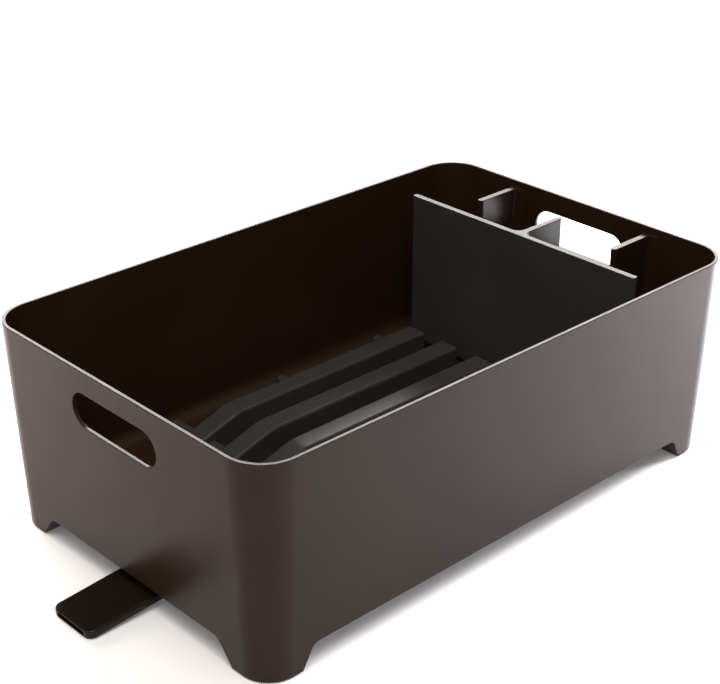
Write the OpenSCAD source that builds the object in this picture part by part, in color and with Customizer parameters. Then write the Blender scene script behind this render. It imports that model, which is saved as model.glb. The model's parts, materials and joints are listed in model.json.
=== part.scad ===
/* [Tub] */
// Length of the tub at its rim
rim_length = 470; // [450:5:520]
// Width of the tub at its rim
rim_width = 296; // [286:2:330]
// Height of the rim above the surface the tub stands on
tub_height = 165; // [150:1:200]
// How far each wall leans in between the rim and the ground
wall_lean = 6.5; // [4:0.5:9]
// Plan radius of the corners at the rim
corner_radius = 30; // [27:1:36]
// Thickness of the walls and the floor
wall = 3; // [2.5:0.1:3.5]
// Height of the inside floor above the ground
floor_level = 25; // [24:0.5:30]
// Radius where the inside walls run into the floor
floor_fillet = 12; // [8:1:14]

/* [Legs] */
// Height of the open gaps between the legs
leg_height = 18.6; // [16:0.2:20]
// Width of a leg along an end wall, at the ground
end_leg_ground = 39.5; // [36:0.5:44]
// Width of a leg along an end wall, at the top of the gap
end_leg_top = 53.4; // [48:0.2:58]
// Length of a leg along a long wall, at the ground
side_leg_ground = 37.5; // [35:0.5:45]
// Length of a leg along a long wall, at the top of the gap
side_leg_top = 47.1; // [45:0.1:55]
// Radius in the upper corners of the gaps
gap_round = 8; // [4:0.5:10]
// Radius of a rubber foot pad
pad_radius = 9; // [7:0.5:10]
// Thickness of a foot pad
pad_thickness = 3; // [2.4:0.1:4]
// How far a foot pad stands out below its leg
pad_proud = 0.8; // [0.5:0.1:1.5]

/* [Hand slots] */
// Length of the hand slot through each end wall
slot_length = 92; // [80:1:120]
// Height of the hand slot
slot_height = 27; // [22:1:32]
// Distance from the rim down to the top of the hand slot
slot_drop = 17.5; // [14:0.5:24]

/* [Plate rack] */
// Number of rails
rail_count = 6; // [4:1:6]
// Distance from the rim of a long wall to the middle of the outermost rail
rack_side_margin = 52; // [50:0.5:60]
// Width of a rail
rail_width = 19; // [15:0.5:22]
// Height of the rail tops above the inside floor
rail_height = 22; // [18:0.5:27]
// Clear floor between the rim of the spout end and the rails
rack_spout_gap = 131; // [115:1:145]
// Distance from the far end of the rails to the middle of the divider
rack_divider_gap = 14.8; // [10:0.2:30]
// Length over which the rails slope down towards the spout end
ramp_length = 44; // [30:1:60]
// Slope of that ramp, in degrees
ramp_angle = 17; // [12:0.5:18]
// Thickness of the rail walls
rail_skin = 2.4; // [1.8:0.1:3]

/* [Cutlery] */
// Distance from the rim of the cutlery end to the middle of the divider
divider_inset = 78.2; // [70:0.1:82]
// Distance from the rim of a long wall to the end of the divider
divider_side_gap = 31.5; // [26:0.5:38]
// Thickness of the divider and of the cutlery ribs
rib_thickness = 5.5; // [3:0.5:6.5]
// Drop from the rim to the tops of the divider and ribs
rib_drop = 5.4; // [4:0.2:20]
// Reach of the divider's own rib towards the end wall
divider_rib_reach = 50; // [46:1:54]
// Distance from the rim of a long wall to the rib nearest it on the end wall
end_rib_side_gap = 78; // [70:1:86]
// Distance from the rim of the cutlery end to the free edges of those ribs
end_rib_reach = 49; // [39:1:53]
// Radius of the flares where ribs join a wall
rib_flare = 7; // [4:0.5:10]

/* [Drain spout] */
// Distance from the rim of the spout end to the outlet and spout pivot
pivot_inset = 45; // [43:1:51]
// Length of the spout from its pivot to its mouth
spout_length = 89.3; // [80:0.1:94]
// Width of the spout
spout_width = 44; // [40:0.5:46]
// Thickness of the spout's duct
spout_thickness = 6.4; // [6:0.1:6.5]
// Height of the duct's middle above the ground, under the outlet
duct_height = 10.3; // [10.2:0.1:10.6]
// Slope of the spout down to its mouth, in degrees
spout_slope = 4.5; // [3:0.5:4.5]
// Plan radius of the corners at the spout's tip
spout_corner = 6.4; // [4:0.2:6.8]
// Width of the water way inside the duct
mouth_width = 30; // [26:1:34]
// Height of the water way inside the duct
mouth_height = 3.6; // [3:0.1:3.8]
// Radius of the outlet tube under the floor
tube_radius = 13.5; // [12:0.1:14]
// Radius of the hole through the outlet
outlet_radius = 10.5; // [9.5:0.1:11]

/* [Fits] */
// Radial running clearance of the spout on the outlet tube and on its screw
running_fit = 0.05; // [0.02:0.01:0.1]
// Gap between faces that slide over each other
face_gap = 0.1; // [0.05:0.01:0.2]
// Clearance of a loose piece in its seat, on each side
seat_gap = 0.3; // [0.2:0.05:0.6]

/* [Hidden] */
$fn = 64;
edge_fn = 32;
past = 1;
shell_colour = "#3b3331";
insert_colour = "#2b2624";
spout_colour = "#1f1a18";
rubber_colour = "#161616";
steel_colour = "#b9babb";

pivot_reach = rim_length / 2 - pivot_inset;
// Everything stands over one origin, under the middle of the whole footprint.
spout_tip_x = -pivot_reach - spout_length * cos(spout_slope) - spout_thickness / 2 * sin(spout_slope);
frame_shift = -(spout_tip_x + rim_length / 2) / 2;

// Walls lean at one rate, so the corners' centres stay put at every height.
corner_x = rim_length / 2 - corner_radius;
corner_y = rim_width / 2 - corner_radius;
function lean_at(z) = wall_lean * (tub_height - z) / tub_height;
function corner_at(z) = corner_radius - lean_at(z);
floor_under = floor_level - wall;
fillet_top = floor_level + floor_fillet;
slot_z = tub_height - slot_drop - slot_height / 2;

end_gap_ground = rim_width / 2 - end_leg_ground;
end_gap_top = rim_width / 2 - end_leg_top;
side_gap_ground = rim_length / 2 - side_leg_ground;
side_gap_top = rim_length / 2 - side_leg_top;

// The pads stand a little outside the corners' centres, in the middle of the legs.
pad_outset_x = 7;
pad_outset_y = 6.5;
pad_x = corner_x + pad_outset_x;
pad_y = corner_y + pad_outset_y;
pad_stem_radius = 3.5;
pad_stem_top = 9;

rail_pitch = (rim_width - 2 * rack_side_margin) / (rail_count - 1);
rail_top = floor_level + rail_height;
divider_x = rim_length / 2 - divider_inset;
rack_spout_end = rack_spout_gap - rim_length / 2;
rack_cutlery_end = divider_x - rack_divider_gap;
ramp_start = rack_spout_end + ramp_length;
rail_round = 2.5;
// The ties leave the water a way under them, and stop short of the floor fillets.
water_way = 3;
tie_foot = floor_level + water_way;
tie_height = 3.5;
tie_width = 8;
tie_count = 3;
tie_margin = 14;
tie_side_gap = 14;
tie_reach = rim_width / 2 - tie_side_gap;

rib_top = tub_height - rib_drop;
end_rib_y = rim_width / 2 - end_rib_side_gap;
end_rib_free_x = rim_length / 2 - end_rib_reach;
divider_lift = 4;
divider_foot = floor_level + divider_lift;
divider_length = rim_width - 2 * divider_side_gap;
socket_height = 8;
socket_wall = 2.2;
socket_length = 24;
socket_end_gap = 9.5;
socket_y = divider_length / 2 - socket_end_gap - socket_length / 2;
rib_socket_reach = 34;
rib_socket_length = 16;

hub_floor = 6.6;
hub_skin = 1.6;
hub_roof = 12.6;
hub_top = 15.6;
hub_radius = spout_width / 2;
hub_wall = 2.2;
tube_end = 11;
flange_radius = 20;
flange_thickness = 4.4;
flange_under = floor_under - flange_thickness;
sump_radius = 23;
sump_depth = 1.5;
spider_radius = 4.5;
spider_foot = hub_floor + hub_skin + 2 * face_gap;
spider_arms = 3;
spider_arm_width = 2;
spider_arm_height = 6;
spider_first_arm = 60;
thread_radius = 1.75;
thread_stop = 3;
thread_end = floor_under - thread_stop;
thread_relief = 0.5;
shoulder_radius = 3;
washer_thickness = 0.9;
washer_radius = 6.5;
screw_head_top = hub_floor - face_gap - washer_thickness;
screw_head_radius = 5.6;
screw_head_height = 2;
drive_length = 5;
drive_width = 1.2;
drive_depth = 1.2;

module in_frame() {
    translate([frame_shift, 0, 0]) children();
}

module at_corners() {
    for (x = [-corner_x, corner_x], y = [-corner_y, corner_y])
        translate([x, y, 0]) children();
}

module at_pivot() {
    translate([-pivot_reach, 0, 0]) children();
}

// Solid of the tub's outside, from the leg bottoms to the rim.
module outer_body() {
    hull() at_corners()
        translate([0, 0, pad_proud])
            cylinder(h = tub_height - pad_proud, r1 = corner_at(pad_proud), r2 = corner_radius,
                     $fn = edge_fn);
}

// The basin: leaning walls that run into the floor with a round fillet.
module basin() {
    hull() at_corners() {
        translate([0, 0, fillet_top])
            cylinder(h = tub_height + past - fillet_top, r1 = corner_at(fillet_top) - wall,
                     r2 = corner_at(tub_height + past) - wall, $fn = edge_fn);
        translate([0, 0, fillet_top])
            rotate_extrude($fn = edge_fn)
                intersection() {
                    translate([corner_at(fillet_top) - wall - floor_fillet, 0])
                        circle(floor_fillet, $fn = edge_fn);
                    translate([0, -floor_fillet]) square(2 * floor_fillet + corner_radius);
                }
    }
}

// Space under the floor, inside the skirt and clear of the four legs.
module under_floor() {
    leg_x = side_gap_top - gap_round;
    leg_y = end_gap_top - gap_round;
    difference() {
        translate([-corner_x - corner_at(0) + wall, -corner_y - corner_at(0) + wall, -past])
            cube([2 * (corner_x + corner_at(0) - wall), 2 * (corner_y + corner_at(0) - wall),
                  floor_under + past]);
        for (x = [-1, 1], y = [-1, 1])
            scale([x, y, 1])
                translate([leg_x, leg_y, -2 * past])
                    cube([rim_length, rim_width, floor_under + 4 * past]);
    }
}

// Outline of the gap between two legs: a trapezium with round upper corners.
module leg_gap(ground_half, top_half) {
    run = ground_half - top_half;
    flank = norm([run, leg_height]);
    nx = leg_height / flank;
    nz = run / flank;
    cz = leg_height - gap_round;
    cx = ground_half - (gap_round + nz * cz) / nx;
    right = [[ground_half + run / leg_height * past, -past],
             [cx + gap_round * nx, cz + gap_round * nz],
             [cx, leg_height]];
    left = [for (i = [2:-1:0]) [-right[i][0], right[i][1]]];
    polygon(concat(right, left));
    for (x = [-cx, cx])
        translate([x, cz]) circle(gap_round);
}

// Outline of a hand slot, lying along its length.
module hand_slot() {
    end = slot_length / 2 - slot_height / 2;
    square([2 * end, slot_height], center = true);
    for (x = [-end, end])
        translate([x, 0]) circle(d = slot_height);
}

// Straight extrusion through the tub along X, of an outline drawn across it.
module through_x() {
    rotate([90, 0, 90]) linear_extrude(rim_length + 4 * past, center = true) children();
}

// Straight extrusion through the tub along Y, of an outline drawn along it.
module through_y() {
    rotate([90, 0, 0]) linear_extrude(rim_width + 4 * past, center = true) children();
}

// Cutlery rib on the end wall, with flared root and round free edge.
module end_rib() {
    root_x = corner_x + corner_radius - wall;
    half = rib_thickness / 2;
    translate([end_rib_free_x + half, 0]) circle(half);
    translate([end_rib_free_x + half, -half]) square([root_x - end_rib_free_x, rib_thickness]);
    difference() {
        translate([root_x - rib_flare, -half - rib_flare])
            square([rib_flare + wall, rib_thickness + 2 * rib_flare]);
        for (y = [-1, 1])
            translate([root_x - rib_flare, y * (half + rib_flare)]) circle(rib_flare);
    }
}

// Small floor socket that one foot of the divider drops into, long way along X.
module socket(length) {
    slot = rib_thickness + 2 * seat_gap;
    for (y = [-1, 1])
        translate([-length / 2, y * (slot + socket_wall) / 2 - socket_wall / 2, floor_level - past])
            cube([length, socket_wall, socket_height + past]);
}

module leg_pad_seat() {
    translate([0, 0, -past])
        cylinder(h = pad_thickness + past, r = pad_radius + seat_gap);
    cylinder(h = pad_stem_top + seat_gap, r = pad_stem_radius + face_gap);
}

module outlet_tube() {
    at_pivot() {
        translate([0, 0, tube_end])
            cylinder(h = floor_under + past - tube_end, r = tube_radius);
        translate([0, 0, flange_under])
            cylinder(h = floor_under + past - flange_under, r = flange_radius);
    }
}

module outlet_hole() {
    at_pivot() {
        translate([0, 0, tube_end - past])
            cylinder(h = floor_level - tube_end + 2 * past, r = outlet_radius);
        translate([0, 0, floor_level - sump_depth])
            cylinder(h = 2 * sump_depth, r1 = outlet_radius + past,
                     r2 = 2 * sump_radius - outlet_radius - past);
    }
}

// Boss for the pivot screw, held in the outlet by three arms.
module outlet_spider() {
    at_pivot() difference() {
        union() {
            translate([0, 0, spider_foot])
                cylinder(h = floor_under - spider_foot, r = spider_radius);
            for (i = [0:spider_arms - 1])
                rotate([0, 0, spider_first_arm + i * 360 / spider_arms])
                    translate([0, -spider_arm_width / 2, floor_under - spider_arm_height])
                        cube([(outlet_radius + tube_radius) / 2, spider_arm_width, spider_arm_height]);
        }
        translate([0, 0, spider_foot - past])
            cylinder(h = thread_end + thread_relief + past - spider_foot,
                     r = thread_radius + running_fit);
    }
}

module tub() {
    color(shell_colour) in_frame() union() {
        difference() {
            union() {
                difference() {
                    outer_body();
                    basin();
                    under_floor();
                    through_x() leg_gap(end_gap_ground, end_gap_top);
                    through_y() leg_gap(side_gap_ground, side_gap_top);
                    through_x() translate([0, slot_z]) hand_slot();
                    for (x = [-pad_x, pad_x], y = [-pad_y, pad_y])
                        translate([x, y, 0]) leg_pad_seat();
                }
                outlet_tube();
            }
            outlet_hole();
        }
        outlet_spider();
        intersection() {
            for (y = [-end_rib_y, end_rib_y])
                translate([0, y, floor_level - past])
                    linear_extrude(rib_top - floor_level + past) end_rib();
            outer_body();
        }
        for (y = [-socket_y, socket_y])
            translate([divider_x, y, 0]) rotate([0, 0, 90]) socket(socket_length);
        translate([divider_x + rib_socket_reach, 0, 0]) socket(rib_socket_length);
    }
}

// Cross-section of a rail, with round upper edges.
module rail_section(width, top, edge) {
    translate([-width / 2, floor_level]) square([width, top - edge - floor_level]);
    if (edge > 0) {
        translate([-width / 2 + edge, top - 2 * edge]) square([width - 2 * edge, 2 * edge]);
        for (x = [-1, 1])
            translate([x * (width / 2 - edge), top - edge]) circle(edge);
    }
}

// A rail body whose top slopes down towards the spout end.
module ramped_rail(width, top, edge, from_x, to_x, foot_cut) {
    low_x = from_x - past;
    difference() {
        translate([from_x, 0, 0])
            rotate([90, 0, 90]) linear_extrude(to_x - from_x) rail_section(width, top, edge);
        rotate([90, 0, 0])
            linear_extrude(width + 2 * past, center = true)
                polygon([[ramp_start, top],
                         [low_x, top - (ramp_start - low_x) * tan(ramp_angle)],
                         [low_x, top + past],
                         [ramp_start, top + past]]);
    }
    if (foot_cut)
        translate([from_x, -width / 2, floor_level - past])
            cube([to_x - from_x, width, past]);
}

// An upside-down channel with closed ends.
module rail() {
    difference() {
        ramped_rail(rail_width, rail_top, rail_round, rack_spout_end, rack_cutlery_end, false);
        ramped_rail(rail_width - 2 * rail_skin, rail_top - rail_skin, 0, rack_spout_end + rail_skin,
                    rack_cutlery_end - rail_skin, true);
    }
}

// Cross tie that leaves the water a way under it; its round ends centre the rack in the tub.
module tie() {
    end = tie_reach - tie_width / 2;
    translate([-tie_width / 2, -end, tie_foot]) cube([tie_width, 2 * end, tie_height]);
    for (y = [-end, end])
        translate([0, y, tie_foot]) cylinder(h = tie_height, d = tie_width);
}

module plate_rack() {
    tie_span = rack_cutlery_end - rack_spout_end - 2 * tie_margin;
    color(insert_colour) in_frame() union() {
        for (i = [0:rail_count - 1])
            translate([0, (i - (rail_count - 1) / 2) * rail_pitch, 0]) rail();
        for (i = [0:tie_count - 1])
            translate([rack_spout_end + tie_margin + i * tie_span / (tie_count - 1), 0, 0]) tie();
    }
}

// Plan of the T-shaped divider: a wall with round ends and one rib with flared roots.
module divider_plan() {
    half = rib_thickness / 2;
    end = divider_length / 2 - half;
    square([rib_thickness, 2 * end], center = true);
    for (y = [-end, end])
        translate([0, y]) circle(half);
    translate([0, -half]) square([divider_rib_reach - half, rib_thickness]);
    translate([divider_rib_reach - half, 0]) circle(half);
    difference() {
        translate([0, -half - rib_flare])
            square([half + rib_flare, rib_thickness + 2 * rib_flare]);
        for (y = [-1, 1])
            translate([half + rib_flare, y * (half + rib_flare)]) circle(rib_flare);
    }
}

module cutlery_divider() {
    foot = socket_length - 2 * seat_gap;
    rib_foot = rib_socket_length - 2 * seat_gap;
    color(insert_colour) in_frame() translate([divider_x, 0, 0]) union() {
        translate([0, 0, divider_foot]) linear_extrude(rib_top - divider_foot) divider_plan();
        for (y = [-socket_y, socket_y])
            translate([-rib_thickness / 2, y - foot / 2, floor_level])
                cube([rib_thickness, foot, divider_foot + past - floor_level]);
        translate([rib_socket_reach - rib_foot / 2, -rib_thickness / 2, floor_level])
            cube([rib_foot, rib_thickness, divider_foot + past - floor_level]);
    }
}

// Tilts its children so that what lies towards -X slopes down from the pivot.
module on_slope() {
    translate([0, 0, duct_height]) rotate([0, -spout_slope, 0]) children();
}

// Plan of the duct from the pivot to the mouth, with round outer corners.
module duct_plan() {
    translate([-spout_length + spout_corner, -spout_width / 2])
        square([spout_length - spout_corner, spout_width]);
    translate([-spout_length, -spout_width / 2 + spout_corner])
        square([2 * spout_corner, spout_width - 2 * spout_corner]);
    for (y = [-1, 1])
        translate([-spout_length + spout_corner, y * (spout_width / 2 - spout_corner)])
            circle(spout_corner);
}

module drain_spout() {
    color(spout_colour) in_frame() at_pivot() difference() {
        union() {
            on_slope()
                linear_extrude(spout_thickness, center = true) duct_plan();
            translate([0, 0, hub_floor]) cylinder(h = hub_top - hub_floor, r = hub_radius);
        }
        on_slope()
            translate([-spout_length - past, -mouth_width / 2, -mouth_height / 2])
                cube([spout_length + past, mouth_width, mouth_height]);
        translate([0, 0, hub_floor + hub_skin])
            cylinder(h = hub_roof - hub_floor - hub_skin, r = hub_radius - hub_wall);
        translate([0, 0, hub_roof - past])
            cylinder(h = hub_top - hub_roof + 2 * past, r = tube_radius + running_fit);
        translate([0, 0, hub_floor - past])
            cylinder(h = hub_skin + 2 * past, r = shoulder_radius + running_fit);
    }
}

module spout_seal() {
    color(rubber_colour) in_frame() at_pivot() translate([0, 0, hub_top + face_gap]) difference() {
        cylinder(h = flange_under - hub_top - face_gap, r = flange_radius);
        translate([0, 0, -past])
            cylinder(h = flange_under - hub_top + 2 * past, r = tube_radius + face_gap);
    }
}

module spout_washer() {
    color(steel_colour) in_frame() at_pivot() translate([0, 0, screw_head_top]) difference() {
        cylinder(h = washer_thickness, r = washer_radius);
        translate([0, 0, -past])
            cylinder(h = washer_thickness + 2 * past, r = shoulder_radius + running_fit);
    }
}

module spout_screw() {
    color(steel_colour) in_frame() at_pivot() difference() {
        union() {
            translate([0, 0, screw_head_top - screw_head_height])
                cylinder(h = screw_head_height, r = screw_head_radius);
            translate([0, 0, screw_head_top])
                cylinder(h = spider_foot - screw_head_top, r = shoulder_radius);
            translate([0, 0, spider_foot])
                cylinder(h = thread_end - spider_foot, r = thread_radius);
        }
        for (turn = [0, 90])
            rotate([0, 0, turn])
                translate([-drive_length / 2, -drive_width / 2,
                           screw_head_top - screw_head_height - past])
                    cube([drive_length, drive_width, past + drive_depth]);
    }
}

// One rubber pad, with a stem pressed up into its leg; x and y give the corner.
module foot_pad(x, y) {
    color(rubber_colour) in_frame() translate([x * pad_x, y * pad_y, 0]) {
        cylinder(h = pad_thickness, r = pad_radius);
        cylinder(h = pad_stem_top, r = pad_stem_radius);
    }
}

tub();
plate_rack();
cutlery_divider();
drain_spout();
spout_seal();
spout_washer();
spout_screw();
foot_pad(-1, -1);  // foot_pad_spout_left
foot_pad(-1, 1);  // foot_pad_spout_right
foot_pad(1, -1);  // foot_pad_cutlery_left
foot_pad(1, 1);  // foot_pad_cutlery_right
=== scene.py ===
import json
import math

import bmesh
import bpy
import numpy as np
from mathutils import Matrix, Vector
from mathutils.geometry import tessellate_polygon

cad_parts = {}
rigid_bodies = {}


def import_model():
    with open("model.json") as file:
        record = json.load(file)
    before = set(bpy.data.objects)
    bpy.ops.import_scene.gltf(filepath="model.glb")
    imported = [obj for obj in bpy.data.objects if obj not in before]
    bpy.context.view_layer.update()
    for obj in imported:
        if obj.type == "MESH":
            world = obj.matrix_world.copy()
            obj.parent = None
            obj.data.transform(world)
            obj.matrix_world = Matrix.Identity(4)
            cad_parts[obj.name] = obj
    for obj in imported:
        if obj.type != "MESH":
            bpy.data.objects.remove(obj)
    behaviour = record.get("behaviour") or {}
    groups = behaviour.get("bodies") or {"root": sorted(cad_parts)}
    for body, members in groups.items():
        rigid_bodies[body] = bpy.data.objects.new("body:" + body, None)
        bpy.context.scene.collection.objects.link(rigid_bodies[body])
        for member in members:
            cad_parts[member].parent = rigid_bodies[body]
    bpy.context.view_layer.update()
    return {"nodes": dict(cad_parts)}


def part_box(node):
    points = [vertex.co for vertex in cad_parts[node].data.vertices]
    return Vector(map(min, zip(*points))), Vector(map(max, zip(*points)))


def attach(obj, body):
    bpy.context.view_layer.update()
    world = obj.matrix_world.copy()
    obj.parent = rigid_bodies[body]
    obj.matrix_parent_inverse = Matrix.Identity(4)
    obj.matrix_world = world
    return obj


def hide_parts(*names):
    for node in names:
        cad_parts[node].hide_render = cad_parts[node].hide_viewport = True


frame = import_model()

MM = 0.001
TURN = 2 * np.pi

# ---- sizes, in millimetres -------------------------------------------------------------------
tub_low, tub_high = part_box("tub")
RIM_LENGTH = (tub_high.x - tub_low.x) / MM
RIM_WIDTH = (tub_high.y - tub_low.y) / MM
RIM_TOP = tub_high.z / MM
LEG_BOTTOM = tub_low.z / MM
TUB_MIDDLE = Vector(((tub_low.x + tub_high.x) / 2, 0, 0))

WALL_LEAN = 6.5
CORNER_RADIUS = 30
WALL = 3
FLOOR = 25
FLOOR_UNDER = FLOOR - WALL
FLOOR_FILLET = 12
FILLET_TOP = FLOOR + FLOOR_FILLET
CORNER_X = RIM_LENGTH / 2 - CORNER_RADIUS
CORNER_Y = RIM_WIDTH / 2 - CORNER_RADIUS

LEG_HEIGHT = 18.6
GAP_ROUND = 8
END_GAP = (108.5, 94.6)
SIDE_GAP = (197.5, 187.9)

SLOT_LENGTH = 92
SLOT_HEIGHT = 27
SLOT_MIDDLE = RIM_TOP - 17.5 - SLOT_HEIGHT / 2
SLOT_FRAME = 8

FLANK_ARC = math.radians(62)
FLANK_STRAIGHT_FROM = 13.4

RIM_ROUND = 0.5
FOOT_ROUND = 0.6
SLOT_ROUND = 0.5

RAIL_COUNT = 6
RAIL_PITCH = 38.4
RAIL_WIDTH = 19
RAIL_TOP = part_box("plate_rack")[1].z / MM
RAIL_SKIN = 2.4
RAIL_ROUND = 2.5
RAIL_END_ROUND = 1.6
RAIL_HOLLOW_ROUND = 0.6
RAMP_START = -60
RAMP_SLOPE = math.tan(math.radians(17))
RAMP_BLEND = 5
RACK_ENDS = [v.x / MM - TUB_MIDDLE.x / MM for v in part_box("plate_rack")]

TIE_WIDTH = 8
TIE_HEIGHTS = (28, 31.5)
TIE_COUNT = 3
TIE_MARGIN = 14
TIE_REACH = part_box("plate_rack")[1].y / MM

RIB_THICKNESS = 5.5
RIB_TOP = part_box("cutlery_divider")[1].z / MM
RIB_FLARE = 7
DIVIDER_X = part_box("cutlery_divider")[0].x / MM - TUB_MIDDLE.x / MM + RIB_THICKNESS / 2
DIVIDER_LENGTH = (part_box("cutlery_divider")[1].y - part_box("cutlery_divider")[0].y) / MM
DIVIDER_FOOT = 29
DIVIDER_RIB_REACH = 50
END_RIB_Y = 70
END_RIB_FREE_X = 186
SOCKET_Y = 95
SOCKET_LENGTH = 24
RIB_SOCKET_REACH = 34
RIB_SOCKET_LENGTH = 16
SOCKET_HEIGHT = 8
SOCKET_WALL = 2.2
SEAT_GAP = 0.3

PIVOT_X = -190
SPOUT_LENGTH = 89.3
SPOUT_WIDTH = 44
SPOUT_THICKNESS = 6.4
DUCT_HEIGHT = 10.3
SPOUT_SLOPE = math.radians(4.5)
SPOUT_CORNER = 6.4
DUCT_EDGE = 1.7
DUCT_LIP = 0.9
DUCT_SIDE_STEPS = 14
MOUTH_WIDTH, MOUTH_HEIGHT = 30, 3.6
MOUTH_CORNER = 1.1
MOUTH_LIP = 0.3
WATER_WAY_DEPTHS = (0, MOUTH_LIP, 8, 30, 58)
HUB_FLOOR, HUB_ROOF, HUB_TOP = 6.6, 12.6, 15.6
HUB_SKIN, HUB_WALL = 1.6, 2.2
HUB_EDGE = 1.0
TUBE_PLAY = 0.05
TUBE_END = 11
TUBE_RADIUS = 13.5
OUTLET_RADIUS = 10.5
OUTLET_LIP = 0.4
FLANGE_RADIUS = 20
FLANGE_UNDER = 17.6
SUMP_RADIUS = 23
SUMP_DEPTH = 1.5
SPIDER_RADIUS = 4.5
SPIDER_FOOT = 8.4
SPIDER_HOLE = 0.9  # narrower than the CAD's blind hole, whose radius is 1.8
SPIDER_ARM_COUNT = 3
SPIDER_ARM_LENGTH, SPIDER_ARM_WIDTH, SPIDER_ARM_DEPTH = 9, 2, 6
SPIDER_ARM_MIDDLE = 7.5
SHOULDER_HOLE = 3.05


# ---- meshes from grids of points -------------------------------------------------------------
class Skin:
    """Gathers grids of points and flat fills, then joins them into one mesh."""

    def __init__(self):
        self.points, self.faces, self.count = [], [], 0

    def grid(self, points, around=False, leave_out=None):
        """points[i, j] is a surface of two parameters: neighbours in i and in j share a quad.
        around joins the last j to the first, and leave_out marks the quads that aren't made."""
        rows, columns = points.shape[:2]
        i = np.arange(rows - 1)[:, None]
        j = np.arange(columns if around else columns - 1)[None, :]
        k = (j + 1) % columns
        quads = np.stack(np.broadcast_arrays(i * columns + j, i * columns + k,
                                             (i + 1) * columns + k, (i + 1) * columns + j), -1)
        keep = np.ones(quads.shape[:2], bool) if leave_out is None else ~leave_out
        self._add(points, quads[keep])

    def fill(self, *loops):
        """A flat face with holes: the first loop is its edge and the others are its holes."""
        flat = [Vector(p) for loop in loops for p in loop]
        triangles = tessellate_polygon([[Vector(p) for p in loop] for loop in loops])
        self._add(np.array(flat), np.array(triangles))

    def _add(self, points, faces):
        points = np.asarray(points, float).reshape(-1, 3)
        self.points.append(points)
        self.faces.extend((np.asarray(faces).reshape(-1, faces.shape[-1]) + self.count).tolist())
        self.count += len(points)

    def piece(self, name, body, material, slot, nodes, sharp=38):
        """Moves the points into the shared frame, merges the seams, turns the faces outwards and
        shades the edges smooth up to the given angle, with flat faces keeping their own normals."""
        at = np.vstack(self.points) * MM + np.array(TUB_MIDDLE)
        mesh = bpy.data.meshes.new(name)
        mesh.from_pydata(at.tolist(), [], self.faces)
        work = bmesh.new()
        work.from_mesh(mesh)
        bmesh.ops.remove_doubles(work, verts=work.verts, dist=2e-6)
        bmesh.ops.dissolve_degenerate(work, edges=work.edges, dist=1e-6)
        bmesh.ops.recalc_face_normals(work, faces=work.faces)
        work.to_mesh(mesh)
        work.free()
        mesh.shade_smooth()
        mesh.set_sharp_from_angle(angle=math.radians(sharp))
        mesh.materials.append(material)
        piece = bpy.data.objects.new(name, mesh)
        bpy.context.scene.collection.objects.link(piece)
        even = piece.modifiers.new("even_normals", "WEIGHTED_NORMAL")
        even.mode, even.weight, even.keep_sharp = "FACE_AREA", 80, True
        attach(piece, body)
        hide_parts(*nodes)
        return piece


def stack(*columns):
    """Broadcasts x, y and z against each other into points."""
    return np.stack(np.broadcast_arrays(*[np.asarray(c, float) for c in columns]), -1)


def spaced(*stops):
    """Numbers from stop to stop, where each stop is (value, steps that lead to it)."""
    out = [float(stops[0])]
    for value, steps in stops[1:]:
        out.extend(np.linspace(out[-1], value, steps + 1)[1:])
    return np.array(out)


def quarter(steps):
    """Angles of a quarter turn, from none to a right angle."""
    return np.linspace(0, np.pi / 2, steps + 1)


# ---- plans: closed loops of points with outward directions, mirrored over one line -----------
def round_box_plan(length, width, radius, corner_steps=6, side_steps=1):
    """A rectangle with round corners, centred. The loop starts at the middle of one short side,
    so that point i and point n - i mirror each other over the long axis, which lies along X. The
    two long sides may be cut into more steps."""
    a = np.concatenate([q * np.pi / 2 + quarter(corner_steps) for q in range(4)])
    side = np.repeat([[1, 1], [-1, 1], [-1, -1], [1, -1]], corner_steps + 1, 0)
    centre = side * [length / 2 - radius, width / 2 - radius]
    out = stack(np.cos(a), np.sin(a))
    at = centre + radius * out
    straight = stack(np.linspace(-1, 1, side_steps + 1)[1:-1] * (length / 2 - radius), width / 2)
    up = np.broadcast_to([0.0, 1.0], straight.shape)
    q = corner_steps + 1
    at = np.vstack([[[length / 2, 0]], at[:q], straight[::-1], at[q:2 * q], [[-length / 2, 0]],
                    at[2 * q:3 * q], straight * [1, -1], at[3 * q:]])
    out = np.vstack([[[1, 0]], out[:q], up, out[q:2 * q], [[-1, 0]], out[2 * q:3 * q], -up,
                     out[3 * q:]])
    return at, out


def rib_plan(free, root, thickness, flare, sink):
    """Half a rib runs from its round free edge, along its side, and out through a quarter-circle
    flare to the wall that it grows from; the other half mirrors it. The root sinks into the wall.
    Also gives each point's share in the wall's lean: none at the free edge and all at the root."""
    half = thickness / 2
    toward = np.sign(root - free)
    a = quarter(8)
    tip = stack(free + toward * half * (1 - np.cos(a)), half * np.sin(a))
    tip_out = stack(-toward * np.cos(a), np.sin(a))
    b = quarter(7)
    bend = stack(root - toward * flare * (1 - np.sin(b)), half + flare * (1 - np.cos(b)))
    bend_out = stack(-toward * np.sin(b), np.cos(b))
    end = np.array([[root + toward * sink, half + flare], [root + toward * sink, 0]])
    end_out = np.array([[0, 1], [toward, 0]])
    at = np.vstack([tip, bend, end])
    out = np.vstack([tip_out, bend_out, end_out])
    lean = np.concatenate([np.zeros(len(tip)), np.ones(len(bend) + 2)])
    mirror = slice(len(at) - 2, 0, -1)
    flip = np.array([1, -1])
    return (np.vstack([at, at[mirror] * flip]), np.vstack([out, out[mirror] * flip]),
            np.concatenate([lean, lean[mirror]]))


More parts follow.
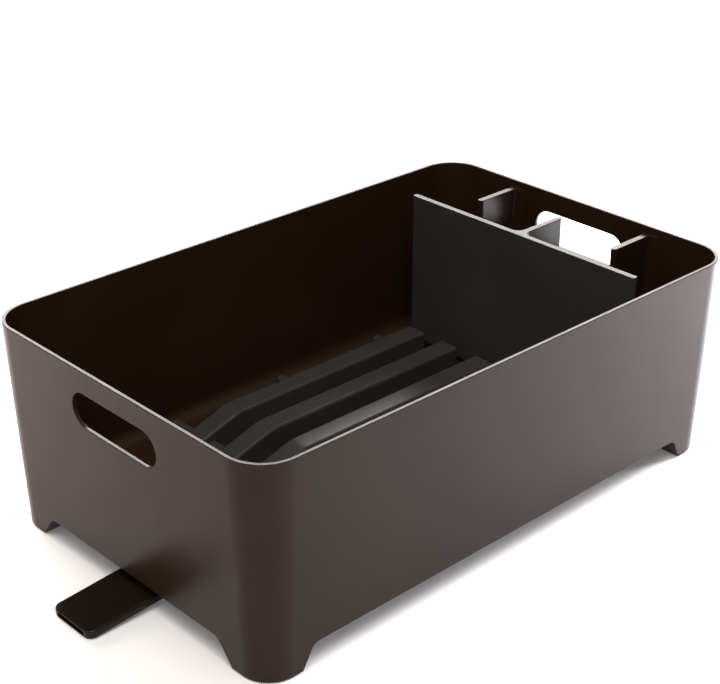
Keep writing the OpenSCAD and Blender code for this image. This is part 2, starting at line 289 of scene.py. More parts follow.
def block(skin, plan, at, low, high, top_round=0.5, foot_round=0.4, turn=False, lean=None,
          slide=None):
    """Carries a plan upwards. Its edges at the top and the foot are quarter circles: the plan
    draws in by the radius less its sine as it rises by the radius less its cosine. The two ends
    are flat and close over the line that the plan mirrors. lean and slide shift each ring."""
    ring, out = plan
    if turn:
        ring, out = ring[:, ::-1] * [-1, 1], out[:, ::-1] * [-1, 1]
    a = quarter(4)
    heights = np.concatenate([low + foot_round * (1 - np.cos(a)),
                              high - top_round * (1 - np.sin(a))])
    inset = np.concatenate([foot_round * (1 - np.sin(a)), top_round * (1 - np.cos(a))])
    flat = ring[None] - inset[:, None, None] * out[None]
    if lean is not None:
        flat[..., 0] += lean[None] * slide(heights)[:, None]
    points = np.concatenate([flat + np.array(at), np.broadcast_to(
        heights[:, None, None], flat.shape[:2] + (1,))], -1)
    skin.grid(points, around=True)
    for end in (points[0], points[-1]):
        close_over(skin, end)


def close_over(skin, ring):
    """A flat or gently curved end made of strips between point i and its mirror, point n - i."""
    half = len(ring) // 2
    near = np.arange(half + 1)
    skin.grid(np.stack([ring[near], ring[-near % len(ring)]], 1))


def lathe(skin, profile, centre, steps=72):
    """A closed profile of (radius, height) points, turned once round an upright line."""
    r, z = np.asarray(profile, float).T
    r, z = np.append(r, r[0]), np.append(z, z[0])
    a = np.linspace(0, TURN, steps, endpoint=False)
    skin.grid(stack(centre[0] + r[:, None] * np.cos(a), centre[1] + r[:, None] * np.sin(a),
                    z[:, None]), around=True)


# ---- the tub ---------------------------------------------------------------------------------
def lean_at(z):
    """How far the walls have leaned in at a height: nothing at the rim, all of it at the ground."""
    return WALL_LEAN * (RIM_TOP - z) / RIM_TOP


def corner_at(z):
    """The corners' radius at a height: it shrinks as the walls lean in."""
    return CORNER_RADIUS - lean_at(z)


def gap_half(z, gap):
    """Half the width of the gap between two legs at a height: a straight slanting flank that
    runs into the flat top through an arc."""
    ground, top = gap
    run = ground - top
    flank = math.hypot(run, LEG_HEIGHT)
    across, up = LEG_HEIGHT / flank, run / flank
    arc_z = LEG_HEIGHT - GAP_ROUND
    arc_x = ground - (GAP_ROUND + up * arc_z) / across
    z = np.asarray(z, float)
    arc = arc_x + np.sqrt(np.clip(GAP_ROUND ** 2 - (z - arc_z) ** 2, 0, None))
    return np.where(z > arc_z + GAP_ROUND * up, arc, ground - run / LEG_HEIGHT * z)


def flank_heights():
    """Heights down a leg's flank: round the arc in even turns, then in even steps to the ground."""
    turn = np.linspace(0, FLANK_ARC, 11)
    return np.append(LEG_HEIGHT - GAP_ROUND * (1 - np.cos(turn)),
                     np.linspace(FLANK_STRAIGHT_FROM, LEG_BOTTOM, 6))


FLANK_Z = flank_heights()
END_FLANK = gap_half(FLANK_Z, END_GAP)
SIDE_FLANK = gap_half(FLANK_Z, SIDE_GAP)


def wall_stations(inner, flank, outer):
    """Places along half a flat wall, from its middle out, and the height of its bottom edge."""
    place = np.concatenate([inner, flank, outer])
    foot = np.concatenate([np.full(len(inner), LEG_HEIGHT), FLANK_Z,
                           np.full(len(outer), LEG_BOTTOM)])
    return (np.concatenate([-place[:0:-1], place]), np.concatenate([foot[:0:-1], foot]))


def tub_outline(corner_steps=20):
    """The tub's plan as a closed loop: the middle line that the corners' radius stands off from,
    the direction outwards, the height of the bottom edge, and which wall each station is on."""
    frame_half = SLOT_LENGTH / 2 + SLOT_FRAME
    end = wall_stations(spaced(0, (frame_half, 14), (80, 3)), END_FLANK, [113, CORNER_Y])
    side = wall_stations(spaced(0, (160, 12), (176, 2)), SIDE_FLANK, [201, CORNER_X])
    parts = []
    for turn, (place, foot), corner in ((0, end, CORNER_X), (1, side, CORNER_Y),
                                        (2, end, CORNER_X), (3, side, CORNER_Y)):
        parts.append((np.full(len(place), turn * np.pi / 2), stack(corner, place), foot,
                      np.full(len(place), turn)))
        bend = turn * np.pi / 2 + np.linspace(0, np.pi / 2, corner_steps + 1)[1:-1]
        limit = CORNER_Y if turn % 2 == 0 else CORNER_X
        parts.append((bend, stack(np.full(len(bend), corner), limit),
                      np.full(len(bend), LEG_BOTTOM), np.full(len(bend), -1)))
    angle, middle, foot, wall = [np.concatenate(p) for p in zip(*parts)]
    turn = np.concatenate([np.full(len(p[0]), i // 2) for i, p in enumerate(parts)]) * np.pi / 2
    c, s = np.round(np.cos(turn)), np.round(np.sin(turn))
    middle = stack(c * middle[:, 0] - s * middle[:, 1], s * middle[:, 0] + c * middle[:, 1])
    return middle, stack(np.cos(angle), np.sin(angle)), foot, wall


def stadium_reach(angle, half_straight, radius):
    """Distance from a stadium's middle to its edge along a direction: to the straight side where
    the ray meets it within the straight part, and to the round end otherwise."""
    c, s = np.abs(np.cos(angle)), np.abs(np.sin(angle))
    side = radius / np.maximum(s, 1e-9)
    end = half_straight * c + np.sqrt(np.clip(radius ** 2 - (half_straight * s) ** 2, 0, None))
    return np.where(side * c <= half_straight, side, end)


def make_tub(material):
    """One profile carried round the outline: up the outside from the legs, over the round rim,
    down the inside, round the floor fillet, across the floor to the sump, down the outlet's bore
    and back up its tube. The hand slots, the skirt and the legs' undersides close it. The legs
    have no sockets here, as they have in the CAD, so the rubber pads sit inside this mesh."""
    skin = Skin()
    middle, out, foot, wall = tub_outline()

    def ring(reach, z):
        reach = np.asarray(reach, float)[..., None] if np.ndim(reach) else reach
        flat = middle + reach * out
        return np.concatenate([flat, np.broadcast_to(np.asarray(z, float)[..., None],
                                                     flat.shape[:-1] + (1,))], -1)

    slot_rows = spaced(SLOT_MIDDLE - SLOT_HEIGHT / 2 - SLOT_FRAME, (SLOT_MIDDLE, 12),
                       (SLOT_MIDDLE + SLOT_HEIGHT / 2 + SLOT_FRAME, 12))
    up = np.concatenate([spaced(LEG_HEIGHT + 6, (slot_rows[0] - 6, 6)), slot_rows,
                         [RIM_TOP - RIM_ROUND - 1]])
    a = quarter(6)
    outside = [ring(corner_at(foot) - FOOT_ROUND * (1 - np.sin(t)),
                    foot + FOOT_ROUND * (1 - np.cos(t))) for t in a]
    outside += [ring(corner_at(z), np.full(len(foot), z)) for z in up]
    outside += [ring(corner_at(RIM_TOP) - RIM_ROUND * (1 - np.cos(t)),
                     np.full(len(foot), RIM_TOP - RIM_ROUND * (1 - np.sin(t)))) for t in a]
    inside = [ring(corner_at(RIM_TOP) - WALL + RIM_ROUND * (1 - np.cos(t)),
                   np.full(len(foot), RIM_TOP - RIM_ROUND * (1 - np.sin(t)))) for t in a[::-1]]
    down = up[up > FILLET_TOP][::-1]
    inside += [ring(corner_at(z) - WALL, np.full(len(foot), z)) for z in down]
    bend = quarter(12)
    fillet_reach = corner_at(FILLET_TOP) - WALL - FLOOR_FILLET
    inside += [ring(fillet_reach + FLOOR_FILLET * np.cos(t),
                    np.full(len(foot), FILLET_TOP - FLOOR_FILLET * np.sin(t))) for t in bend]

    # quads of the two end walls that the hand slots take out
    rows = np.array(outside + inside)
    frame_half = SLOT_LENGTH / 2 + SLOT_FRAME + 1e-6
    heights = rows[:, 0, 2]
    near = (heights > slot_rows[0] - 1e-6) & (heights < slot_rows[-1] + 1e-6)
    row_in = near[:-1] & near[1:]
    cols = [(wall == w) & (np.abs(middle[:, 1]) < frame_half) for w in (0, 2)]
    col_in = sum((c & np.roll(c, -1)).astype(int) for c in cols) > 0
    skin.grid(rows, around=True, leave_out=row_in[:, None] & col_in[None])

    # each hand slot: from the frame it is cut in, over a round edge, through the wall and out
    for c in cols:
        column = np.flatnonzero(c)
        row = np.flatnonzero(near)
        outer_row = row[row < len(outside)]
        inner_row = row[row >= len(outside)][::-1]
        x_side = np.sign(middle[column[0], 0])
        loops = []
        for r in (outer_row, inner_row):
            patch = rows[np.ix_(r, column)]
            loops.append(np.vstack([patch[0, :-1], patch[:-1, -1], patch[-1, :0:-1],
                                    patch[:0:-1, 0]]))
        y, z = loops[0][:, 1], loops[0][:, 2] - SLOT_MIDDLE
        angle = np.arctan2(z, y)
        half_straight = (SLOT_LENGTH - SLOT_HEIGHT) / 2

        def edge(wider, sink):
            reach = stadium_reach(angle, half_straight, SLOT_HEIGHT / 2 + wider)
            ey, ez = reach * np.cos(angle), SLOT_MIDDLE + reach * np.sin(angle)
            return stack(x_side * (CORNER_X + corner_at(ez) - sink), ey, ez)

        through = [loops[0]]
        through += [edge(SLOT_ROUND * (1 - np.sin(t)), SLOT_ROUND * (1 - np.cos(t)))
                    for t in quarter(5)]
        through += [edge(SLOT_ROUND * (1 - np.cos(t)), WALL - SLOT_ROUND * (1 - np.sin(t)))
                    for t in quarter(5)]
        through += [loops[1]]
        skin.grid(np.array(through), around=True)

    # floor, sump, outlet bore and tube: rings that share their directions from the outlet
    floor_edge = rows[-1]
    angle = np.arctan2(floor_edge[:, 1], floor_edge[:, 0] - PIVOT_X)

    def round_outlet(radius, z):
        return stack(PIVOT_X + radius * np.cos(angle), radius * np.sin(angle), z)

    sump = round_outlet(SUMP_RADIUS, FLOOR)
    share = np.array([0, 0.06, 0.5, 0.94])[:, None, None]
    lip = OUTLET_LIP
    drain = [(SUMP_RADIUS, FLOOR), (OUTLET_RADIUS + 1, FLOOR - SUMP_DEPTH),
             (OUTLET_RADIUS, FLOOR - SUMP_DEPTH - lip), (OUTLET_RADIUS, TUBE_END + lip),
             (OUTLET_RADIUS + lip, TUBE_END), (TUBE_RADIUS - lip, TUBE_END),
             (TUBE_RADIUS, TUBE_END + lip), (TUBE_RADIUS, FLANGE_UNDER),
             (FLANGE_RADIUS, FLANGE_UNDER), (FLANGE_RADIUS, FLOOR_UNDER)]
    skin.grid(np.concatenate([floor_edge * (1 - share) + sump * share,
                              [round_outlet(*d) for d in drain]]), around=True)

    # under-edge: the skirt between the legs, and each leg's flanks, sole and inner faces
    edge_ring = rows[0]
    skirt = foot > LEG_HEIGHT - 1e-6
    inner_foot = ring(corner_at(foot) - WALL, foot)
    inner_top = ring(corner_at(foot) - WALL, np.full(len(foot), float(FLOOR_UNDER)))
    hip_x = gap_half(np.minimum(foot, LEG_HEIGHT), SIDE_GAP)
    hip_y = gap_half(np.minimum(foot, LEG_HEIGHT), END_GAP)
    hip = stack(np.sign(middle[:, 0]) * hip_x, np.sign(middle[:, 1]) * hip_y, foot)
    count = len(foot)
    arm = np.flatnonzero(skirt)
    breaks = np.flatnonzero(np.diff(np.append(arm, arm[0] + count)) > 1)
    runs = np.split(np.roll(arm, -(breaks[0] + 1)), np.cumsum(np.diff(breaks)))[:4]
    runs = [r for r in runs if len(r)]
    under = []
    for k, run in enumerate(runs):
        skin.grid(np.stack([edge_ring[run], inner_foot[run], inner_top[run]]))
        under.extend(inner_top[run])
        after = runs[(k + 1) % len(runs)]
        gap = (after[0] - run[-1]) % count
        leg = (run[-1] + np.arange(gap + 1)) % count
        skin.grid(np.stack([edge_ring[leg], inner_foot[leg], hip[leg]]))
        top = hip[leg[0]]
        top_up = top * [1, 1, 0] + [0, 0, FLOOR_UNDER]
        for station in (leg[0], leg[-1]):
            skin.fill([inner_foot[station], inner_top[station], top_up, top])
        under.append(top_up)
    skin.fill(under, round_outlet(FLANGE_RADIUS, FLOOR_UNDER))

    # the two cutlery ribs on the end wall, the divider's sockets and the outlet's spider
    root = CORNER_X + CORNER_RADIUS - WALL
    at, away, share = rib_plan(END_RIB_FREE_X, root, RIB_THICKNESS, RIB_FLARE, 1.5)
    for y in (-END_RIB_Y, END_RIB_Y):
        block(skin, (at, away), (0, y), FLOOR - 1, RIB_TOP, lean=share,
              slide=lambda z: -lean_at(z))
    fence = (RIB_THICKNESS + 2 * SEAT_GAP + SOCKET_WALL) / 2
    for x, y, length, turn in ((DIVIDER_X, -SOCKET_Y, SOCKET_LENGTH, True),
                               (DIVIDER_X, SOCKET_Y, SOCKET_LENGTH, True),
                               (DIVIDER_X + RIB_SOCKET_REACH, 0, RIB_SOCKET_LENGTH, False)):
        for side in (-fence, fence):
            block(skin, round_box_plan(length, SOCKET_WALL, 0.9),
                  (x + side, y) if turn else (x, y + side), FLOOR - 1, FLOOR + SOCKET_HEIGHT,
                  top_round=0.7, turn=turn)
    lathe(skin, [(SPIDER_HOLE, FLOOR_UNDER), (SPIDER_HOLE, SPIDER_FOOT),
                 (SPIDER_RADIUS - 0.4, SPIDER_FOOT),
                 (SPIDER_RADIUS, SPIDER_FOOT + 0.4), (SPIDER_RADIUS, FLOOR_UNDER - 0.6),
                 (SPIDER_RADIUS - 0.6, FLOOR_UNDER)], (PIVOT_X, 0))
    arm_plan, arm_out = round_box_plan(SPIDER_ARM_LENGTH, SPIDER_ARM_WIDTH, 0.5)
    for k in range(SPIDER_ARM_COUNT):
        t = math.radians(60 + 360 / SPIDER_ARM_COUNT * k)
        spin = np.array([[math.cos(t), math.sin(t)], [-math.sin(t), math.cos(t)]])
        block(skin, ((arm_plan + [SPIDER_ARM_MIDDLE, 0]) @ spin, arm_out @ spin), (PIVOT_X, 0),
              FLOOR_UNDER - SPIDER_ARM_DEPTH, FLOOR_UNDER, top_round=0.4)
    return skin.piece("tub_shell", "tub", material, "shell", ["tub"])


# ---- the plate rack --------------------------------------------------------------------------
def crown_height(x):
    """Height of a rail's top: level, then down the ramp, with a short parabola between them."""
    before = np.clip(RAMP_START + RAMP_BLEND - x, 0, None)
    return RAIL_TOP - RAMP_SLOPE * np.where(before < 2 * RAMP_BLEND,
                                            before ** 2 / (4 * RAMP_BLEND), before - RAMP_BLEND)


def rail_surface(y_middle, inset, edge, end_round):
    """A rail's outside, or its hollow when inset is the wall's thickness: an upside-down channel
    section carried along X, drawn in at each end over a quarter circle, and closed there over
    its middle line."""
    low, high = RACK_ENDS[0] + inset, RACK_ENDS[1] - inset
    a = quarter(4)
    start = low + end_round * (1 - np.cos(a))
    middle = spaced(start[-1], (RAMP_START - 6, 6), (RAMP_START + 6, 8),
                    (high - end_round, 14))[1:-1]
    x = np.concatenate([start[:1], start, middle, low + high - start[::-1], [high]])
    draw = np.concatenate([[end_round], end_round * (1 - np.sin(a)), np.zeros(len(middle)),
                           end_round * (1 - np.sin(a[::-1])), [end_round]])
    half = RAIL_WIDTH / 2 - inset - draw
    top = crown_height(x) - inset - draw
    b = quarter(5)
    arc_y = np.concatenate([edge * (1 - np.cos(b)), edge * (1 - np.cos(b[::-1]))])
    arc_z = np.concatenate([edge * (1 - np.sin(b)), edge * (1 - np.sin(b[::-1]))])
    side = np.repeat([-1, 1], len(b))
    y = side * (half[:, None] - arc_y)
    z = top[:, None] - arc_z
    y = np.concatenate([-half[:, None], y, half[:, None]], 1)
    z = np.concatenate([np.full((len(x), 1), FLOOR), z, np.full((len(x), 1), FLOOR)], 1)
    y[[0, -1]] = 0
    return stack(x[:, None], y + y_middle, z)


def make_rack(material):
    """Six rails side by side, and the ties that join them underneath."""
    skin = Skin()
    for i in range(RAIL_COUNT):
        y = (i - (RAIL_COUNT - 1) / 2) * RAIL_PITCH
        shell = rail_surface(y, 0, RAIL_ROUND, RAIL_END_ROUND)
        hollow = rail_surface(y, RAIL_SKIN, RAIL_HOLLOW_ROUND, RAIL_HOLLOW_ROUND)
        skin.grid(shell)
        skin.grid(hollow)
        for edge in (0, -1):
            skin.grid(np.stack([shell[:, edge], hollow[:, edge]]))
    span = RACK_ENDS[1] - RACK_ENDS[0] - 2 * TIE_MARGIN
    for i in range(TIE_COUNT):
        block(skin, round_box_plan(2 * TIE_REACH, TIE_WIDTH, TIE_WIDTH / 2 - 0.01),
              (RACK_ENDS[0] + TIE_MARGIN + i * span / (TIE_COUNT - 1), 0), *TIE_HEIGHTS,
              top_round=1, foot_round=0.6, turn=True)
    return skin.piece("rail_rack", "rack", material, "insert", ["plate_rack"])


# ---- the cutlery divider ---------------------------------------------------------------------
def make_divider(material):
    """An upright wall with round ends, its rib with flared roots, and three feet."""
    skin = Skin()
    foot = SOCKET_LENGTH - 2 * SEAT_GAP
    half = RIB_THICKNESS / 2
    block(skin, round_box_plan(DIVIDER_LENGTH, RIB_THICKNESS, half - 0.01), (DIVIDER_X, 0),
          DIVIDER_FOOT, RIB_TOP, turn=True)
    at, away, _ = rib_plan(DIVIDER_RIB_REACH, half, RIB_THICKNESS, RIB_FLARE, 1.6)
    block(skin, (at, away), (DIVIDER_X, 0), DIVIDER_FOOT, RIB_TOP - 0.01)
    for y in (-SOCKET_Y, SOCKET_Y):
        block(skin, round_box_plan(foot, RIB_THICKNESS, 0.8), (DIVIDER_X, y), FLOOR,
              DIVIDER_FOOT + 1, turn=True)
    block(skin, round_box_plan(RIB_SOCKET_LENGTH - 2 * SEAT_GAP, RIB_THICKNESS, 0.8),
          (DIVIDER_X + RIB_SOCKET_REACH, 0), FLOOR, DIVIDER_FOOT + 1)
    return skin.piece("cutlery_wall", "divider", material, "insert", ["cutlery_divider"])


# ---- the drain spout -------------------------------------------------------------------------
def make_spout(material):
    """A flat duct with round edges, whose lines start on the hub's wall and end at the mouth, a
    blind water way inside it, and the turned hub that hangs on the outlet tube."""
    skin = Skin()
    hub_radius = SPOUT_WIDTH / 2

    def tilted(reach, y, z):
        c, s = math.cos(SPOUT_SLOPE), math.sin(SPOUT_SLOPE)
        return stack(PIVOT_X - reach * c - z * s, y, DUCT_HEIGHT - reach * s + z * c)

    def half_width(from_tip):
        """Straight sides, then a quarter circle round each corner of the tip."""
        d = np.clip(SPOUT_CORNER - from_tip, 0, SPOUT_CORNER)
        return hub_radius - SPOUT_CORNER + np.sqrt(SPOUT_CORNER ** 2 - d ** 2)

    plan, _ = round_box_plan(SPOUT_WIDTH, SPOUT_THICKNESS, DUCT_EDGE,
                             side_steps=DUCT_SIDE_STEPS)
    half_z = SPOUT_THICKNESS / 2
    lip = DUCT_LIP
    a = quarter(5)
    corner = SPOUT_CORNER * (1 - np.sin(quarter(12)))[:-1]
    from_tip = np.concatenate([corner[corner > lip], lip * (1 - np.sin(a))])
    draw = np.concatenate([np.zeros((corner > lip).sum()), lip * (1 - np.cos(a))])
    wide = half_width(from_tip)
    rings = []
    start = np.sqrt(np.clip((hub_radius - HUB_WALL / 2) ** 2 - plan[:, 0] ** 2, 0, None))
    for t in np.linspace(0, 1, 8)[:-1]:
        rings.append(tilted(start + t * (SPOUT_LENGTH - SPOUT_CORNER - start), plan[:, 0],
                            plan[:, 1]))
    for d, w, thin in zip(from_tip, wide, draw):
        y = np.sign(plan[:, 0]) * np.interp(np.abs(plan[:, 0]),
                                            [0, hub_radius - DUCT_EDGE, hub_radius],
                                            [0, w - DUCT_EDGE, w])
        rings.append(tilted(SPOUT_LENGTH - d, y, plan[:, 1] * (half_z - thin) / half_z))
    way, _ = round_box_plan(MOUTH_WIDTH, MOUTH_HEIGHT, MOUTH_CORNER,
                            side_steps=DUCT_SIDE_STEPS)
    for d in WATER_WAY_DEPTHS:
        grow = MOUTH_LIP if d == 0 else 0
        rings.append(tilted(SPOUT_LENGTH - d, way[:, 0] * (1 + grow / (MOUTH_WIDTH / 2)),
                            way[:, 1] * (1 + grow / (MOUTH_HEIGHT / 2))))
    skin.grid(np.array(rings), around=True)
    close_over(skin, rings[0])
    close_over(skin, rings[-1])

    r = HUB_EDGE
    b = quarter(4)
    foot = [(hub_radius - r * (1 - np.sin(t)), HUB_FLOOR + r * (1 - np.cos(t))) for t in b]
    crest = [(hub_radius - r * (1 - np.cos(t)), HUB_TOP - r * (1 - np.sin(t))) for t in b]
    lathe(skin, foot + crest + [(TUBE_RADIUS + TUBE_PLAY, HUB_TOP),
                                (TUBE_RADIUS + TUBE_PLAY, HUB_ROOF),
                                (hub_radius - HUB_WALL, HUB_ROOF),
                                (hub_radius - HUB_WALL, HUB_FLOOR + HUB_SKIN),
                                (SHOULDER_HOLE, HUB_FLOOR + HUB_SKIN),
                                (SHOULDER_HOLE, HUB_FLOOR)], (PIVOT_X, 0))
    return skin.piece("spout_duct", "spout", material, "spout", ["drain_spout"])


# ---- materials -------------------------------------------------------------------------------
def colour(code):
    """An sRGB hex colour as linear light: the low part is a straight line and the rest a power."""
    srgb = np.array([int(code[i:i + 2], 16) / 255 for i in (1, 3, 5)])
    linear = np.where(srgb <= 0.04045, srgb / 12.92, ((srgb + 0.055) / 1.055) ** 2.4)
    return (*linear.tolist(), 1.0)


def add(tree, kind, settings=None, inputs=None, links=None):
    """Adds one node: its settings, the values of its inputs, and the outputs linked to them."""
    node = tree.nodes.new(kind)
    for key, value in (settings or {}).items():
        setattr(node, key, value)
    for key, value in (inputs or {}).items():
        node.inputs[key].default_value = value
    for key, output in (links or {}).items():
        tree.links.new(output, node.inputs[key])
    return node


def new_material(name):
    """A material whose shader is a Principled BSDF, with object coordinates ready to read."""
    made = bpy.data.materials.new(name)
    made.use_nodes = True
    tree = made.node_tree
    tree.nodes.clear()
    shader = add(tree, "ShaderNodeBsdfPrincipled")
    add(tree, "ShaderNodeOutputMaterial", links={"Surface": shader.outputs["BSDF"]})
    return made, tree, shader, add(tree, "ShaderNodeTexCoord").outputs["Object"]


def per_metre(millimetres):
    """A noise scale whose lumps are about this far apart."""
    return 1 / (millimetres * MM)


def ramp(tree, source, low, high, out_low, out_high):
    """Maps low to high onto out_low to out_high, held at both ends."""
    return add(tree, "ShaderNodeMapRange", {"clamp": True},
               {"From Min": low, "From Max": high, "To Min": out_low, "To Max": out_high},
               {"Value": source}).outputs["Result"]


def tint(tree, share, one, other):
    """Runs from one colour to another with the share."""
    mix = add(tree, "ShaderNodeMix", {"data_type": "RGBA"}, links={0: share})
    mix.inputs[6].default_value = colour(one)
    mix.inputs[7].default_value = colour(other)
    return mix.outputs[2]


def noise(tree, where, spacing, detail=3, roughness=0.55):
    """Cloudy noise whose lumps are spacing millimetres apart."""
    return add(tree, "ShaderNodeTexNoise", None,
               {"Scale": per_metre(spacing), "Detail": detail, "Roughness": roughness},
               {"Vector": where}).outputs["Fac"]


def moulded_plastic(name, deep, light, gloss, specular, grain_mm, grain_strength):
    """Injection-moulded polypropylene in a satin-polished mould: one deep colour that clouds very
    slightly where the melt flowed, a soft sheen that wanders with the polish of the mould, a wall
    that is not quite flat, and a fine orange-peel grain. The grain of a real mould is about
    0.2 mm, too fine to show here, so it is drawn coarser."""
    made, tree, shader, where = new_material(name)
    flow = noise(tree, where, 85, 2)
    polish = noise(tree, where, 30, 4)
    shader.inputs["IOR"].default_value = 1.49
    shader.inputs["Specular IOR Level"].default_value = specular
    cloud = ramp(tree, flow, 0.35, 0.65, 0.0, 1.0)
    tree.links.new(tint(tree, cloud, deep, light), shader.inputs["Base Color"])
    tree.links.new(ramp(tree, polish, 0.3, 0.7, gloss - 0.025, gloss + 0.035),
                   shader.inputs["Roughness"])
    grain = noise(tree, where, grain_mm, 2)
    wave = noise(tree, where, 55, 1)
    broad = add(tree, "ShaderNodeBump", None, {"Strength": 0.12, "Distance": 0.4 * MM},
                {"Height": wave})
    bump = add(tree, "ShaderNodeBump", None, {"Strength": grain_strength, "Distance": 0.05 * MM},
               {"Height": grain, "Normal": broad.outputs["Normal"]})
    tree.links.new(bump.outputs["Normal"], shader.inputs["Normal"])
    return made


def moulded_rubber(name):
    """Moulded black nitrile rubber: matt, greyed by handling, with a pebbled skin."""
    made, tree, shader, where = new_material(name)
    shader.inputs["IOR"].default_value = 1.52
    dust = ramp(tree, noise(tree, where, 6, 4), 0.4, 0.7, 0.0, 1.0)
    tree.links.new(tint(tree, dust, "#141414", "#242322"), shader.inputs["Base Color"])
    tree.links.new(ramp(tree, noise(tree, where, 3), 0.3, 0.7, 0.62, 0.8),
                   shader.inputs["Roughness"])
    pebble = add(tree, "ShaderNodeTexVoronoi", None, {"Scale": per_metre(0.9)}, {"Vector": where})
    bump = add(tree, "ShaderNodeBump", None, {"Strength": 0.25, "Distance": 0.1 * MM},
               {"Height": pebble.outputs["Distance"]})
    tree.links.new(bump.outputs["Normal"], shader.inputs["Normal"])
    return made


def turned_steel(name):
    """Turned stainless steel: bright grey metal with fine rings round the screw's own axis."""
    made, tree, shader, where = new_material(name)
    shader.inputs["Metallic"].default_value = 1.0
    centre = add(tree, "ShaderNodeMapping", {"vector_type": "POINT"},
                 {"Location": tuple(-(TUB_MIDDLE + Vector((PIVOT_X * MM, 0, 0))))},
                 {"Vector": where}).outputs["Vector"]
    rings = add(tree, "ShaderNodeTexWave", {"wave_type": "RINGS", "rings_direction": "Z"},
                {"Scale": per_metre(0.5) / TURN, "Distortion": 0.6, "Detail": 2.0},
                {"Vector": centre}).outputs["Fac"]
    tree.links.new(tint(tree, rings, "#b4b5b6", "#cbccce"), shader.inputs["Base Color"])
    tree.links.new(ramp(tree, rings, 0, 1, 0.24, 0.34), shader.inputs["Roughness"])
    bump = add(tree, "ShaderNodeBump", None, {"Strength": 0.15, "Distance": 0.02 * MM},
               {"Height": rings})
    tree.links.new(bump.outputs["Normal"], shader.inputs["Normal"])
    return made


tub_plastic = moulded_plastic("moulded_polypropylene_brown", "#27190f", "#2b1d14", gloss=0.30,
                              specular=0.165, grain_mm=2.6, grain_strength=0.22)
insert_plastic = moulded_plastic("moulded_polypropylene_near_black", "#343230", "#393735",
                                 gloss=0.32, specular=0.17, grain_mm=2.2, grain_strength=0.18)
spout_plastic = moulded_plastic("moulded_polypropylene_black", "#1a120c", "#1e160f", gloss=0.30,
                                specular=0.18, grain_mm=2.2, grain_strength=0.22)
rubber = moulded_rubber("moulded_nitrile_rubber")
steel = turned_steel("turned_stainless_steel")

make_tub(tub_plastic)
make_rack(insert_plastic)
make_divider(insert_plastic)
make_spout(spout_plastic)
for name, node in frame["nodes"].items():
    if name.startswith("foot_pad") or name == "spout_seal":
        node.data.materials.clear()
        node.data.materials.append(rubber)
    elif name in ("spout_washer", "spout_screw"):
        node.data.materials.clear()
        node.data.materials.append(steel)


# ---- floor, light and camera -----------------------------------------------------------------
FLOOR_REACH = 20000
# painted light on the paper: the distances from the tub over which its glow rises, and the glow
# near the tub (painted shade) and far from it
GLOW_FROM, GLOW_FULL = 0.45, 1.1
GLOW_NEAR, GLOW_AWAY = 0.1, 0.8
CAMERA_DISTANCE = 1.1863


def direction(azimuth, elevation):
    """Unit vector from the object towards a camera or light at these angles, in degrees."""
    a, e = math.radians(azimuth), math.radians(elevation)
    return Vector((math.sin(a) * math.cos(e), -math.cos(a) * math.cos(e), math.sin(e)))


def make_floor():
    """A pale sheet of studio paper with painted light: it glows by itself away from the tub, as a
    sweep does that has its own lamps, and hardly at all near it, a painted shade round the tub that
    keeps the soft shadow under the tub."""
    skin = Skin()
    side = np.linspace(-FLOOR_REACH, FLOOR_REACH, 3)
    skin.grid(stack(side[:, None], side[None, :], 0.0))
    made, tree, shader, where = new_material("studio_paper_painted_glow")
    shader.inputs["Roughness"].default_value = 0.9
    shader.inputs["Emission Color"].default_value = colour("#ffffff")
    # painted light: the paper glows more the further it lies from the tub, which paints shade on
    # the paper round the tub
    away = add(tree, "ShaderNodeVectorMath", {"operation": "DISTANCE"}, {1: TUB_MIDDLE},
               {0: where})
    tree.links.new(ramp(tree, away.outputs["Value"], GLOW_FROM, GLOW_FULL, GLOW_NEAR, GLOW_AWAY),
                   shader.inputs["Emission Strength"])
    tree.links.new(tint(tree, ramp(tree, noise(tree, where, 400), 0.3, 0.7, 0, 1),
                        "#f2f2f2", "#f6f6f6"), shader.inputs["Base Color"])
    mesh = bpy.data.meshes.new("studio_floor")
    mesh.from_pydata((np.vstack(skin.points) * MM).tolist(), [], skin.faces)
    mesh.materials.append(made)
    floor = bpy.data.objects.new("studio_floor", mesh)
    bpy.context.scene.collection.objects.link(floor)


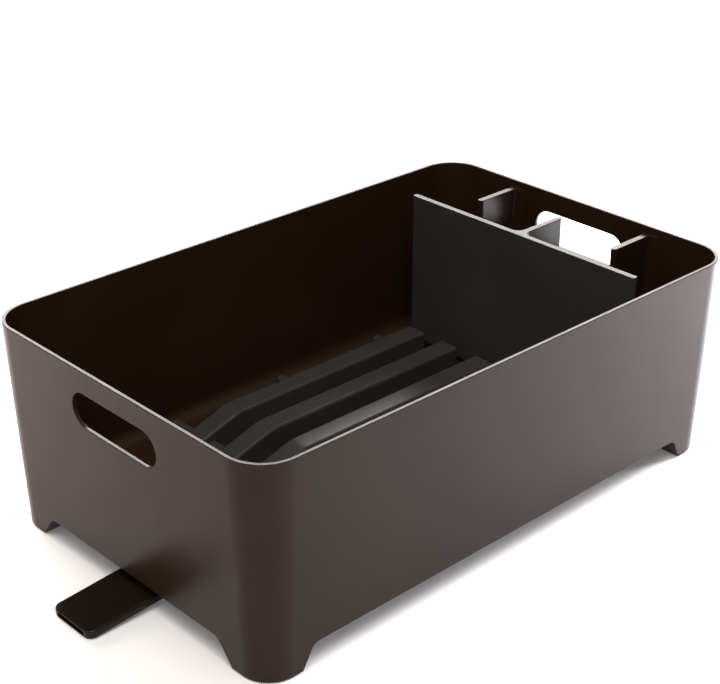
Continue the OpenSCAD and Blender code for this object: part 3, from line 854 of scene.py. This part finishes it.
def softbox(name, azimuth, elevation, distance, size, glow, tone, aim, only=None):
    """A large soft lamp that looks at a point of the object. Its power is its brightness times
    its area times pi. A lamp may be kept to a collection of pieces, as with flags in a studio."""
    lamp = bpy.data.lights.new(name, "AREA")
    lamp.shape, lamp.size, lamp.size_y = "RECTANGLE", size[0], size[1]
    lamp.energy = glow * np.pi * size[0] * size[1]
    lamp.color = colour(tone)[:3]
    holder = bpy.data.objects.new(name, lamp)
    back = direction(azimuth, elevation)
    holder.location = Vector(aim) + back * distance
    holder.rotation_euler = (-back).to_track_quat("-Z", "Y").to_euler()
    holder.visible_camera = False
    if only is not None:
        holder.light_linking.receiver_collection = only
    bpy.context.scene.collection.objects.link(holder)


def make_light():
    """An even glow all round, one lamp overhead, two that light only the paper on either side of
    the tub, whose brightness the walls mirror, and one behind it that lights only the object."""
    world = bpy.data.worlds.new("studio")
    world.use_nodes = True
    tree = world.node_tree
    tree.nodes.clear()
    glow = add(tree, "ShaderNodeBackground", None, {"Color": colour("#fffaf8"), "Strength": 0.34})
    add(tree, "ShaderNodeOutputWorld", links={"Surface": glow.outputs["Background"]})
    bpy.context.scene.world = world
    middle = TUB_MIDDLE + Vector((0, 0, 0.1))
    rim = TUB_MIDDLE + Vector((0, 0, RIM_TOP * MM))
    plastic = bpy.data.collections.new("lit_pieces")
    paper = bpy.data.collections.new("lit_paper")
    for thing in bpy.context.scene.objects:
        if thing.type == "MESH":
            (paper if thing.name == "studio_floor" else plastic).objects.link(thing)
    softbox("overhead", azimuth=-50, elevation=66, distance=1.8, size=(1.4, 1.2), glow=5,
            tone="#fffaf4", aim=middle)
    softbox("right_paper", azimuth=82, elevation=17, distance=0.8, size=(0.6, 0.45), glow=31,
            tone="#fbf8ff", aim=middle, only=paper)
    softbox("left_paper", azimuth=-174, elevation=17, distance=0.75, size=(0.5, 0.4), glow=12,
            tone="#ffe4da", aim=middle, only=paper)
    softbox("behind", azimuth=138, elevation=28.5, distance=2.0, size=(1.8, 0.56), glow=17,
            tone="#fff8f5", aim=rim, only=plastic)


def make_camera():
    """A long lens that looks down at the spout end and the long wall."""
    aim = Vector((12.5, 5.5, 118.9)) * MM
    back = direction(azimuth=-43.167, elevation=26.517)
    lens = bpy.data.cameras.new("camera")
    lens.lens, lens.sensor_width = 80.36, 36
    lens.clip_start, lens.clip_end = 0.05, 50
    holder = bpy.data.objects.new("camera", lens)
    holder.location = aim + back * CAMERA_DISTANCE
    holder.rotation_euler = (-back).to_track_quat("-Z", "Y").to_euler()
    bpy.context.scene.collection.objects.link(holder)
    bpy.context.scene.camera = holder


make_floor()
make_light()
make_camera()
bpy.context.scene.view_settings.view_transform = "Standard"
